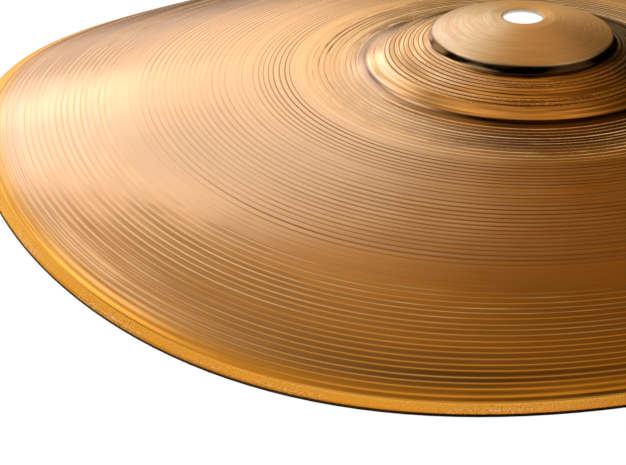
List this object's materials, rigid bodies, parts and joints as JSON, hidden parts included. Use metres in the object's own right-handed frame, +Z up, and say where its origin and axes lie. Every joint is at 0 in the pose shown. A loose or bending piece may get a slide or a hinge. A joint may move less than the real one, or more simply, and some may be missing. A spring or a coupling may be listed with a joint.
{
  "type": "crash cymbal",
  "caption": "Thin round effects crash cymbal with a two-tier bell, a gently waved playing edge and a plain centre hole for a stand.",
  "frame": {"origin": "centre of the hole, on the underside of the flat land of the bell, where a stand's seat washer presses", "axes": "+Z up out of the bell along the hole's axis, the bow opens downward; -Y faces the viewer"},
  "size_m": [0.3556, 0.3556, 0.0438],
  "materials": {
    "bronze": "lathed B8 bronze, brilliant polish on the bell's cap"
  },
  "bodies": {
    "root": {"cymbal": "bronze"}
  },
  "joints": []
}
